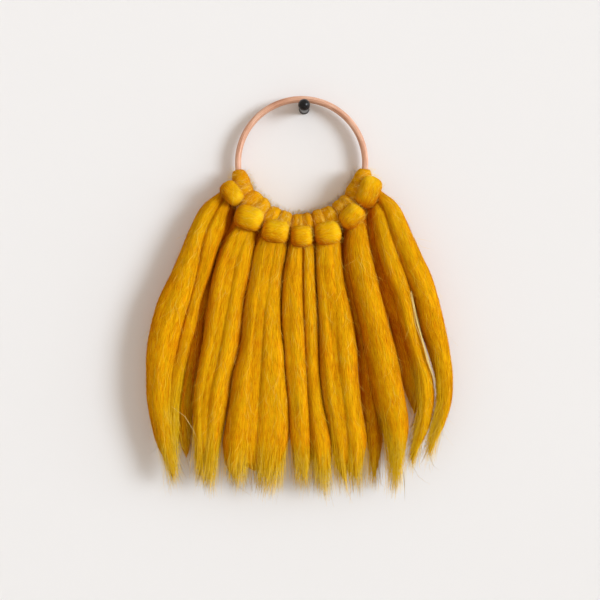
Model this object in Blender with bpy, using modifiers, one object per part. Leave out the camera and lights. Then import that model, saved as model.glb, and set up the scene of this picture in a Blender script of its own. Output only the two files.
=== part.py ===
"""Wool hoop wall hanging: a plain beech embroidery ring hung on a black wall pin, with seven
lengths of thick wool roving hitched round its lower half. The wall is the plane y = 0, the front
faces -y, and the origin is the middle of the pin's flat back. Lengths are in millimetres, and
MM turns them into metres."""

import math

import bmesh
import bpy
from mathutils import Vector

MM = 0.001
GAP = 0.4  # air left between the ring and whatever goes round it

# The beech ring: a flat-sided band with rounded edges.
HOOP_OUTER = 65.0  # outer radius
HOOP_THICK = 6.0  # across the band, from the middle of the ring outwards
HOOP_DEEP = 10.0  # along y
HOOP_MIDDLE_Y = -9.5
HOOP_EDGE = 2.4  # rounding of the band's four edges
HOOP_LEAN = 2.44  # how far the ring's middle hangs to the left of the pin
HOOP_STEPS = 64
PIN_NECK = 4.6  # radius of the pin where the ring rests on it
PIN_PLAY = 0.45

HOOP_DROP = math.sqrt((HOOP_OUTER - HOOP_THICK - PIN_NECK - PIN_PLAY) ** 2 - HOOP_LEAN**2)
HOOP_MIDDLE = Vector((-HOOP_LEAN, HOOP_MIDDLE_Y, -HOOP_DROP))

# The pin, turned about the y axis: columns are y and radius.
PIN_PROFILE = [
    (0.0, 0.0), (0.0, 4.7), (-0.5, 5.2), (-1.8, 5.2), (-2.6, PIN_NECK), (-20.9, PIN_NECK),
    (-21.6, 5.05), (-23.0, 5.62), (-24.6, 5.8), (-26.4, 5.5), (-28.2, 4.45), (-29.5, 2.9),
    (-30.2, 1.3), (-30.4, 0.0),
]
PIN_STEPS = 20

# Where the wool goes round the ring. Radii are from the ring's middle.
WRAP_INNER, WRAP_OUTER = 50.0, 74.0
WRAP_FRONT, WRAP_BACK = -28.5, -0.6
WRAP_SQUARE = 2.6
WRAP_POINTS = 12
WRAP_SWELL = [
    (-1.0, 0.78), (-0.84, 0.92), (-0.45, 0.99), (0.0, 1.0), (0.45, 0.99), (0.84, 0.92), (1.0, 0.78),
]
WRAP_ROOM = 0.3  # air left at each side of a hitch's turns
WRAP_LAP = 2.2  # degrees by which the two turns of one hitch run into each other

# The bar that crosses the front of each hitch.
BAR_MIDDLE_Y, BAR_HALF_DEEP, BAR_BEND = -27.0, 11.0, 5.0
BAR_SQUARE = 2.5
BAR_POINTS = 12
BAR_RIDGE = 0.025  # how far the valleys between a bar's ridges fall in
# Columns here and in WRAP_SWELL: place from one end (-1) to the other (1), and part of the full size.
BAR_SWELL = [
    (-1.0, 0.36), (-0.9, 0.66), (-0.66, 0.92), (-0.3, 1.0), (0.3, 1.0), (0.66, 0.92), (0.9, 0.66), (1.0, 0.36),
]

# Columns: first and last degree of the two turns round the ring, counted from straight down and
# positive to the right; then the bar's middle x and z, its length and height, and its tilt.
HITCHES = {
    "roving_1": (-82.0, -61.0, -71.0, -85.4, 17.0, 15.0, -49.0),
    "roving_2": (-59.2, -34.9, -54.5, -109.5, 24.4, 19.0, -16.0),
    "roving_3": (-34.2, -9.6, -27.5, -123.0, 26.0, 20.5, -1.0),
    "roving_4": (-9.6, 10.2, -2.4, -126.4, 20.2, 20.5, 0.0),
    "roving_5": (10.2, 33.5, 22.1, -123.0, 24.0, 21.0, 7.0),
    "roving_6": (34.0, 52.0, 46.4, -107.0, 22.0, 16.5, 47.0),
    "roving_7": (52.0, 82.0, 62.0, -84.0, 30.0, 18.0, 68.0),
}

# Every lock of wool below the hitches. Columns of a row: height, left edge, right edge.
# A front lock hangs with its middle at FRONT_Y, and a tucked lock lies behind it at TUCKED_Y.
FRONT_Y, TUCKED_Y, ROOT_Y = -23.0, -12.0, -18.0
LOCKS = {
    "roving_1": {
        "outer": [
            (-81, -78, -70), (-84.5, -84.5, -72.5), (-87.5, -89.5, -75), (-91.5, -94, -78),
            (-99, -100.5, -82.5), (-108, -104.5, -86.5), (-120, -110, -92.5), (-140, -117.5, -97.5),
            (-164, -127.5, -101.5), (-188, -140, -107.5), (-212, -147, -114.5), (-236, -151.5, -120),
            (-261, -151.5, -125), (-285, -151, -127.5), (-324, -142.5, -127), (-350, -131, -122),
        ],
        "inner": [
            (-88, -77, -67), (-96, -83.5, -71.5), (-106, -88, -73.5), (-120, -95.5, -76.5),
            (-140, -100, -84), (-164, -104, -90.5), (-188, -110, -99.5), (-212, -116.5, -103.5),
            (-236, -122.5, -111), (-261, -128, -117), (-285, -130, -122.5), (-322, -129.5, -123.5),
        ],
        "tucked": [
            (-108, -85, -78), (-122, -92, -78), (-140, -96, -82.5), (-164, -99, -89), (-188, -106, -93),
            (-217, -112, -96.5), (-237, -116, -100.5), (-261, -120, -105.5), (-286, -125, -109),
            (-315, -127, -109.5), (-332, -120, -109.5),
        ],
    },
    "roving_2": {
        "outer": [
            (-112, -65.5, -55), (-122, -71.5, -56), (-140, -81, -63.5), (-164, -87.5, -69),
            (-188, -91.5, -73), (-212, -94, -77), (-236, -98.5, -81), (-261, -103.5, -86.5),
            (-285, -107, -91.5), (-324, -106, -93), (-346, -105, -96),
        ],
        "inner": [
            (-112, -57, -46.5), (-122, -59.5, -46.5), (-140, -67.5, -49.4), (-164, -73, -52.9),
            (-188, -76.5, -58.2), (-212, -80.5, -60.2), (-236, -84.5, -62.9), (-261, -90.5, -70.2),
            (-285, -95.5, -72.7), (-324, -97, -80), (-350, -98.5, -86.5),
        ],
    },
    "roving_3": {
        "outer": [
            (-118, -38.5, -27), (-130, -44, -30), (-140, -48.6, -32.5), (-164, -52.1, -37),
            (-188, -57.3, -39.5), (-212, -59.3, -42), (-236, -62, -43.5), (-261, -69.3, -45.5),
            (-285, -71.8, -48), (-324, -79, -50), (-350, -79, -55),
        ],
        "inner": [
            (-118, -29.5, -17), (-130, -33, -16.5), (-140, -35, -17), (-164, -39.5, -21.5),
            (-188, -42.5, -22.6), (-212, -44.5, -22.2), (-236, -46, -19.6), (-261, -48, -18.3),
            (-285, -50.5, -15.5), (-324, -52.5, -14.3), (-350, -52.5, -18.5),
        ],
    },
    "roving_4": {
        "outer": [
            (-122, -11.5, -0.5), (-140, -16, 0), (-164, -20.6, 0), (-188, -21.7, 0),
            (-212, -21.3, 1), (-236, -18.7, 2), (-261, -17.4, 3.5), (-285, -14.6, 5),
            (-324, -13.4, 7.5), (-350, -8.5, 8.5),
        ],
        "inner": [
            (-122, -2, 7), (-140, -2, 10), (-164, -2, 10.4), (-188, -2, 12),
            (-212, -1, 13), (-236, 0, 13.5), (-261, 1, 14.5), (-285, 3, 17.4),
            (-324, 5, 26.4), (-350, 7, 28.5),
        ],
    },
    "roving_5": {
        "outer": [
            (-120, 12, 24.5), (-140, 11, 25), (-164, 11.2, 25), (-188, 12.8, 27.5),
            (-212, 13.8, 29.5), (-236, 14.3, 31.5), (-261, 15.3, 33), (-285, 18.2, 36),
            (-324, 27.2, 42), (-350, 30, 44.5),
        ],
        "inner": [
            (-120, 22, 33), (-140, 22.5, 36), (-164, 22.5, 36.5), (-188, 25, 42.5),
            (-212, 27, 47), (-236, 29, 50.5), (-261, 31, 51.5), (-285, 34, 53.5),
            (-324, 39, 60), (-350, 41, 57.5),
        ],
    },
    "roving_6": {
        "outer": [
            (-106, 46, 57), (-120, 41.5, 60), (-140, 40.5, 63), (-164, 44, 69),
            (-188, 49, 75), (-212, 54, 81), (-236, 59.5, 88), (-261, 64, 92.5),
            (-285, 68, 97), (-304, 74.5, 100.5), (-324, 79.5, 99.5), (-346, 82.5, 95),
        ],
        "tucked": [
            (-117, 43, 50), (-130, 39.5, 53), (-149, 38.5, 54), (-170, 39.5, 56), (-188, 44, 61),
            (-212, 48.5, 64), (-237, 52, 67), (-262, 53.5, 70), (-286, 55.5, 73), (-325, 62, 76),
            (-350, 63.5, 73),
        ],
    },
    "roving_7": {
        "inner": [
            (-90, 63, 75), (-106, 65, 81), (-120, 67, 84), (-140, 70.5, 90.5), (-164, 77, 99),
            (-188, 87.5, 106), (-212, 93, 110), (-236, 100, 115.5), (-261, 108.5, 123.5),
            (-285, 111, 125.5), (-314, 107.5, 119.5), (-336, 101, 107.5),
        ],
        "outer": [
            (-79, 62, 70), (-83, 64.5, 75), (-86.5, 67, 82), (-91, 70, 88.5), (-101, 75, 94.5),
            (-116, 79, 100.5), (-140, 87, 111), (-164, 96, 122.5), (-188, 106, 129.5),
            (-212, 111, 135.5), (-236, 120, 140), (-261, 127, 143.5), (-285, 129, 142.5),
            (-314, 123.5, 133.5), (-328, 118.5, 123.5),
        ],
        "tucked": [
            (-105, 66, 74), (-120, 64, 78), (-140, 64.5, 81), (-164, 70.5, 87), (-188, 76.5, 96),
            (-217, 84, 103), (-247, 91.5, 112), (-276, 96.5, 116), (-289, 101, 114),
        ],
    },
}
LOCK_SQUARE = 2.3
WIDE_LOCK = 24.0
WIDE_POINTS, NARROW_POINTS = 16, 12
RIDGE = 0.05  # how far the valleys between a lock's ridges fall in
LOCK_THIN, LOCK_FULL = 5.0, 12.5  # least and most half-depth of a front lock
LOCK_SPREAD = 0.42  # half-depth gained for each millimetre of a lock's width
LOCK_END = 9.0  # how far a body's blunt end reaches below its last row
LOCK_END_PART = 0.4  # that end's width, as a part of the last row's
LOCK_CLOSING = (0.55, 0.8, 1.0)  # part of the half-depth left at the last, last but one and other rows
TUCKED_ROOT = 0.45  # part of the half-depth left at a tucked lock's root
ROOT_RUN = 60.0  # height over which a lock settles back from its hitch towards the wall
TUCKED_HALF = 6.5

# The pointed ends, each a thin four-sided lock rooted in the body above. Columns: x and height.
TIPS = {
    ("roving_1", "outer"): [(-129, -357), (-125, -362), (-120, -368)],
    ("roving_1", "inner"): [(-126, -337), (-123, -346)],
    ("roving_1", "tucked"): [(-115, -340), (-112, -335)],
    ("roving_2", "outer"): [(-103, -364), (-100, -367)],
    ("roving_2", "inner"): [(-95, -369), (-89, -376), (-86, -364)],
    ("roving_3", "outer"): [(-71, -366), (-61, -371), (-53, -366)],
    ("roving_3", "inner"): [(-45, -373), (-39, -379), (-32, -376), (-24, -375)],
    ("roving_4", "outer"): [(-8, -369), (-1, -373)],
    ("roving_4", "inner"): [(10, -373), (17, -376), (23, -380)],
    ("roving_5", "outer"): [(33, -370), (40, -374)],
    ("roving_5", "inner"): [(46, -371), (54, -374)],
    ("roving_6", "outer"): [(82, -378), (86, -373), (91, -361)],
    ("roving_6", "tucked"): [(67, -373)],
    ("roving_7", "inner"): [(100, -352), (105, -345)],
    ("roving_7", "outer"): [(114, -345), (119, -338)],
    ("roving_7", "tucked"): [(108, -298)],
}
TIP_LONG = 44.0
TIP_WIDE = 3.4  # radius of the widest part
TIP_SHAPE = [(0.0, 0.9), (0.5, 1.0), (0.8, 0.6), (1.0, 0.18)]  # part of the way down, part of TIP_WIDE
TIP_DRIFT = 1.5  # power by which a tip leaves its root late for its own x
TIP_TURNS = (1.5, -1.5, 0.5)  # y that each next tip drifts by
TIP_MARGIN = 1.2

WOOL = (0.74, 0.37, 0.012, 1.0)
BEECH = (0.66, 0.38, 0.25, 1.0)
BLACK = (0.012, 0.012, 0.014, 1.0)


def new_collection(name, parent=None):
    made = bpy.data.collections.new(name)
    (parent or bpy.context.scene.collection).children.link(made)
    return made


def new_material(name, colour, roughness):
    made = bpy.data.materials.new(name)
    made.use_nodes = True
    surface = made.node_tree.nodes["Principled BSDF"]
    surface.inputs["Base Color"].default_value = colour
    surface.inputs["Roughness"].default_value = roughness
    made.diffuse_color = colour
    return made


def lofted(name, rings, collection, round_trip=False):
    """A closed solid through rings of points of one count, capped unless it runs back to its start."""
    mesh = bmesh.new()
    rows = [[mesh.verts.new(Vector(point) * MM) for point in ring] for ring in rings]
    following = rows[1:] + rows[:1] if round_trip else rows[1:]
    for upper, lower in zip(rows, following):
        for here in range(len(upper)):
            after = (here + 1) % len(upper)
            mesh.faces.new((upper[here], upper[after], lower[after], lower[here]))
    if not round_trip:
        mesh.faces.new(rows[0])
        mesh.faces.new(rows[-1])
    bmesh.ops.recalc_face_normals(mesh, faces=mesh.faces)
    data = bpy.data.meshes.new(name)
    mesh.to_mesh(data)
    mesh.free()
    made = bpy.data.objects.new(name, data)
    collection.objects.link(made)
    return made


def squarish(angle, power):
    """A point of the superellipse of this power, both half-axes 1."""
    across, along = math.cos(angle), math.sin(angle)
    return (
        math.copysign(abs(across) ** (2 / power), across),
        math.copysign(abs(along) ** (2 / power), along),
    )


def turned(name, profile, steps, material, collection):
    """Turns a profile of (y, radius) about the y axis with Blender's Screw."""
    data = bpy.data.meshes.new(name)
    points = [(radius * MM, y * MM, 0.0) for y, radius in profile]
    data.from_pydata(points, [(k, k + 1) for k in range(len(points) - 1)], [])
    made = bpy.data.objects.new(name, data)
    collection.objects.link(made)
    screw = made.modifiers.new("turn", "SCREW")
    screw.axis = "Y"
    screw.steps = screw.render_steps = steps
    screw.use_merge_vertices = True
    screw.merge_threshold = 0.00002
    screw.use_normal_calculate = True
    made.data.materials.append(material)
    return made


def band_profile(grow):
    """The ring's cross-section as (radius, y) points, grown outwards by this much."""
    half_thick, half_deep = HOOP_THICK / 2 + grow, HOOP_DEEP / 2 + grow
    round_by = HOOP_EDGE + grow
    middle = HOOP_OUTER - HOOP_THICK / 2
    corners = ((1, 1, 0), (-1, 1, 90), (-1, -1, 180), (1, -1, 270))
    points = []
    for across, along, start in corners:
        for step in range(3):
            angle = math.radians(start + 45 * step)
            points.append((
                middle + across * (half_thick - round_by) + round_by * math.cos(angle),
                along * (half_deep - round_by) + round_by * math.sin(angle),
            ))
    return points


def round_the_hoop(radius, y, angle):
    """A point at this distance from the ring's middle; the angle is 0 straight down."""
    return HOOP_MIDDLE.x + radius * math.sin(angle), y, HOOP_MIDDLE.z - radius * math.cos(angle)


def hoop_ring(name, grow, collection):
    """The ring, or the same ring grown a little to clear room for it in the wool."""
    rings = []
    for step in range(HOOP_STEPS):
        angle = 2 * math.pi * step / HOOP_STEPS
        rings.append([
            round_the_hoop(radius, HOOP_MIDDLE.y + y, angle) for radius, y in band_profile(grow)
        ])
    return lofted(name, rings, collection, round_trip=True)


def wrap(name, first, last, collection):
    """One turn of wool round the ring, from one degree to another."""
    middle_r, half_r = (WRAP_INNER + WRAP_OUTER) / 2, (WRAP_OUTER - WRAP_INNER) / 2
    middle_y, half_y = (WRAP_FRONT + WRAP_BACK) / 2, (WRAP_BACK - WRAP_FRONT) / 2
    rings = []
    for place, swell in WRAP_SWELL:
        angle = math.radians((first + last) / 2 + place * (last - first) / 2)
        ring = []
        for step in range(WRAP_POINTS):
            across, along = squarish(2 * math.pi * step / WRAP_POINTS, WRAP_SQUARE)
            ring.append(round_the_hoop(
                middle_r + half_r * swell * across, middle_y + half_y * swell * along, angle,
            ))
        rings.append(ring)
    return lofted(name, rings, collection)


def bar(name, x, z, length, height, tilt, collection):
    """The bar across the front of a hitch, its ends curling back under the ring."""
    lean = math.radians(tilt)
    rings = []
    for place, swell in BAR_SWELL:
        ring = []
        for step in range(BAR_POINTS):
            up, out = squarish(2 * math.pi * step / BAR_POINTS, BAR_SQUARE)
            ridge = 1.0 if step % 2 == 0 else 1.0 - BAR_RIDGE
            up *= height / 2 * swell * ridge
            y = BAR_MIDDLE_Y + BAR_BEND * place * place + out * BAR_HALF_DEEP * swell * ridge
            along = place * length / 2
            ring.append((
                x + along * math.cos(lean) - up * math.sin(lean), y,
                z + along * math.sin(lean) + up * math.cos(lean),
            ))
        rings.append(ring)
    return lofted(name, rings, collection)


def lock_middle_y(height, top, tucked):
    if tucked:
        return TUCKED_Y
    return ROOT_Y + (FRONT_Y - ROOT_Y) * min(1.0, (top - height) / ROOT_RUN)


def lock_half_deep(wide, place, rows_left, tucked):
    """Half the depth of a lock at a row: thinner at its lower end and at a tucked lock's root."""
    full = TUCKED_HALF if tucked else max(LOCK_THIN, min(LOCK_FULL, LOCK_SPREAD * wide + 2.0))
    if tucked and place == 0:
        return full * TUCKED_ROOT
    return full * LOCK_CLOSING[min(rows_left, 2)]


def lock(name, rows, tucked, collection):
    """The body of one lock, ridged lengthwise."""
    widest = max(right - left for _, left, right in rows)
    count = WIDE_POINTS if widest > WIDE_LOCK else NARROW_POINTS
    top = rows[0][0]
    rows = list(rows)
    z, left, right = rows[-1]
    middle = (left + right) / 2
    reach = (right - left) * LOCK_END_PART / 2
    rows.append((z - LOCK_END, middle - reach, middle + reach))
    rings = []
    for place, (z, left, right) in enumerate(rows):
        half_wide = (right - left) / 2
        half_deep = lock_half_deep(right - left, place, len(rows) - 1 - place, tucked)
        ring = []
        for step in range(count):
            across, along = squarish(2 * math.pi * step / count, LOCK_SQUARE)
            ridge = 1.0 if step % 2 == 0 else 1.0 - RIDGE
            ring.append((
                (left + right) / 2 + across * half_wide * ridge,
                lock_middle_y(z, top, tucked) + along * half_deep * ridge, z,
            ))
        rings.append(ring)
    return lofted(name, rings, collection)


def edges_at(rows, height):
    for (z_above, left_above, right_above), (z, left, right) in zip(rows, rows[1:]):
        if height >= z:
            part = (height - z) / (z_above - z)
            return left + part * (left_above - left), right + part * (right_above - right)
    return rows[-1][1], rows[-1][2]


def tip(name, rows, x, z, tucked, turn, collection):
    """One pointed end, rooted well inside the lock's body."""
    z_root = z + TIP_LONG
    left, right = edges_at(rows, z_root)
    margin = min(TIP_WIDE + TIP_MARGIN, (right - left) / 2)
    x_root = min(max(x, left + margin), right - margin)
    y_root = lock_middle_y(z_root, rows[0][0], tucked)
    rings = []
    corners = [math.radians(45 + 90 * side) for side in range(4)]
    for place, wide in TIP_SHAPE:
        centre = Vector((
            x_root + (x - x_root) * place**TIP_DRIFT, y_root + turn * place, z_root - TIP_LONG * place,
        ))
        reach = wide * TIP_WIDE
        rings.append([
            centre + Vector((math.cos(corner), math.sin(corner), 0)) * reach for corner in corners
        ])
    return lofted(name, rings, collection)


def fuse(target, pieces, clearance):
    """Joins every piece of this collection to the target, then clears the ring's room."""
    joined = target.modifiers.new("joined", "BOOLEAN")
    joined.operation, joined.solver = "UNION", "EXACT"
    joined.operand_type, joined.collection = "COLLECTION", pieces
    cleared = target.modifiers.new("cleared", "BOOLEAN")
    cleared.operation, cleared.solver, cleared.object = "DIFFERENCE", "EXACT", clearance


def roving(name, clearance, material, parts, helpers):
    """One length of roving: two turns round the ring, a bar, and its hanging locks, fused."""
    first, last, x, z, length, height, tilt = HITCHES[name]
    margin = math.degrees(WRAP_ROOM / WRAP_INNER)
    middle = (first + last) / 2
    pieces = new_collection(name + "_pieces", helpers)
    wrap(name + "_turn_a", first + margin, middle + WRAP_LAP, pieces)
    wrap(name + "_turn_b", middle - WRAP_LAP, last - margin, pieces)
    body = bar(name, x, z, length, height, tilt, parts)
    for where, rows in LOCKS[name].items():
        tucked = where == "tucked"
        lock(f"{name}_{where}", rows, tucked, pieces)
        for place, (tip_x, tip_z) in enumerate(TIPS[name, where]):
            turn = TIP_TURNS[place % len(TIP_TURNS)]
            tip(f"{name}_{where}_tip_{place}", rows, tip_x, tip_z, tucked, turn, pieces)
    fuse(body, pieces, clearance)
    body.data.materials.append(material)
    return body


for leftover in list(bpy.data.objects):
    bpy.data.objects.remove(leftover)
for leftover in list(bpy.data.meshes):
    bpy.data.meshes.remove(leftover)

parts = new_collection("wool hoop wall hanging")
helpers = new_collection("helpers")
helpers.hide_render = True

hoop = hoop_ring("hoop", 0.0, parts)
hoop.data.materials.append(new_material("beech", BEECH, 0.5))
clearance = hoop_ring("ring_clearance", GAP, helpers)
pin = turned("wall_pin", PIN_PROFILE, PIN_STEPS, new_material("black_pin", BLACK, 0.2), parts)
for number, name in enumerate(HITCHES, 1):
    roving(name, clearance, new_material(f"wool_{number}", WOOL, 0.9), parts, helpers)

for helper in helpers.all_objects:
    helper.hide_render = True
    helper.display_type = "WIRE"
for made in parts.objects:
    for face in made.data.polygons:
        face.use_smooth = True
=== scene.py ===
# %% [markdown]
# # Wool hoop wall hanging
#
# Seven lengths of thick, unspun wool roving hang from the lower half of a beech embroidery ring,
# and the ring hangs on a black pin in the wall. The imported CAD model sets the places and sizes, and
# this script dresses it: soft wool made of thousands of fine strands over a soft core, a beech ring
# with its grain, and a glossy black pin. Lengths in the tables are in millimetres, because that is
# how the piece was laid out. `MM` turns them into metres, Blender's unit.

# %% Load the frame
import math

import bpy
import numpy as np
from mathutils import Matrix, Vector


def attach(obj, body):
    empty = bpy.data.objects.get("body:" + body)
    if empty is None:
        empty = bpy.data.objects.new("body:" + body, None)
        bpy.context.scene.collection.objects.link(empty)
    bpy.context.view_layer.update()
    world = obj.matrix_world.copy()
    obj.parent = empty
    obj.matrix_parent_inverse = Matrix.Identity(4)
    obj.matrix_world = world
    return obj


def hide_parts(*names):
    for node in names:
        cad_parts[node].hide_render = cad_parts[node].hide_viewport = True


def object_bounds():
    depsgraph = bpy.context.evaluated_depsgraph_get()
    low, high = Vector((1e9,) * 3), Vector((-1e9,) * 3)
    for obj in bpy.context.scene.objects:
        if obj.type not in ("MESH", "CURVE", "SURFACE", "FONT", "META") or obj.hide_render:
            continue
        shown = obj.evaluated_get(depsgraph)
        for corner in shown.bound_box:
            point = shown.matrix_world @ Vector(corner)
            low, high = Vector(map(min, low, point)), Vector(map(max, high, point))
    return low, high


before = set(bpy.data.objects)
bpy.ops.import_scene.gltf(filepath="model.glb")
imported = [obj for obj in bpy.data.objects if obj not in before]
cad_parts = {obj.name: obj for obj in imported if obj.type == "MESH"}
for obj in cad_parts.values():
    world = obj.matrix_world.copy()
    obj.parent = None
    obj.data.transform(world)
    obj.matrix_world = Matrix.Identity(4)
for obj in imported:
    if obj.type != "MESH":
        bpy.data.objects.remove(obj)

MM = 0.001


def linked(name, data):
    """A new object that holds this data, in the scene."""
    made = bpy.data.objects.new(name, data)
    bpy.context.scene.collection.objects.link(made)
    return made


cad_low, cad_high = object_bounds()
print("CAD box in mm:", [round(v / MM, 1) for v in (*cad_low, *cad_high)])

# %% [markdown]
# ## Camera
#
# A wall piece is seen straight on, from a little over a metre. The camera looks level along +Y, and
# its aim is a little below the middle of the CAD box. A wide lens close up would bend the ring into
# an egg, and a very long lens would flatten the pin, so a 67 mm lens at 1.1 m is the middle way.

# %% Camera
CAMERA_BACK = 1100.0
CAMERA_LENS = 67.07
AIM_BELOW = 3.2  # how far below the middle of the box the camera looks
CLIP_NEAR, CLIP_FAR = 0.01, 50.0  # in metres
aim_x = (cad_low.x + cad_high.x) / 2
aim_z = (cad_low.z + cad_high.z) / 2 - AIM_BELOW * MM
camera = linked("camera", bpy.data.cameras.new("camera"))
camera.data.lens = CAMERA_LENS
camera.data.clip_start, camera.data.clip_end = CLIP_NEAR, CLIP_FAR
camera.location = (aim_x, -CAMERA_BACK * MM, aim_z)
camera.rotation_euler = (math.radians(90), 0, 0)
bpy.context.scene.camera = camera
print("camera aims at", round(aim_x / MM, 1), round(aim_z / MM, 1), "mm")

# %% [markdown]
# ## The wool's layout
#
# Each roving is folded in half and hitched round the ring: two turns over the ring, a bar across the
# front, and its ends hanging below as two or three locks. These tables repeat the named sizes of the
# CAD source, so the soft wool fills the same space as its plain solid. The wall is at y = 0, and y is
# negative in front of it.

# %% Ring and hitch sizes
HOOP_OUTER = 65.0  # the ring's outer radius
HOOP_THICK = 6.0  # its section, from inside to outside
HOOP_DEEP = 10.0  # its section, from front to back
HOOP_LEAN = 2.44  # how far its middle hangs to the left of the pin
HOOP_MIDDLE_Y = -9.5
PIN_NECK, PIN_PLAY = 4.6, 0.45  # the neck's radius, and the gap between it and the ring
hoop_drop = math.sqrt((HOOP_OUTER - HOOP_THICK - PIN_NECK - PIN_PLAY) ** 2 - HOOP_LEAN**2)
HOOP_MIDDLE = np.array((-HOOP_LEAN, HOOP_MIDDLE_Y, -hoop_drop))

WRAP_FRONT, WRAP_BACK = -28.5, -0.6  # the front and the back of a turn over the ring
WRAP_SQUARE = 2.6  # the power of a turn's section: 2 is an oval, and more is squarer
BAR_MIDDLE_Y, BAR_HALF_DEEP = -27.0, 11.0
BAR_BEND = 8.0  # how far a bar's ends bend back towards the ring
BAR_SQUARE = 2.5  # the power of a bar's section
print("ring", 2 * HOOP_OUTER, "mm across, its middle", [round(v, 1) for v in HOOP_MIDDLE])

# %% Locks below the hitches
FRONT_Y, TUCKED_Y = -23.0, -12.0  # the middle of a front lock, and of one tucked behind it
ROOT_Y, ROOT_RUN = -18.0, 60.0  # a front lock starts at this y, and comes forward over this length
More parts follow.
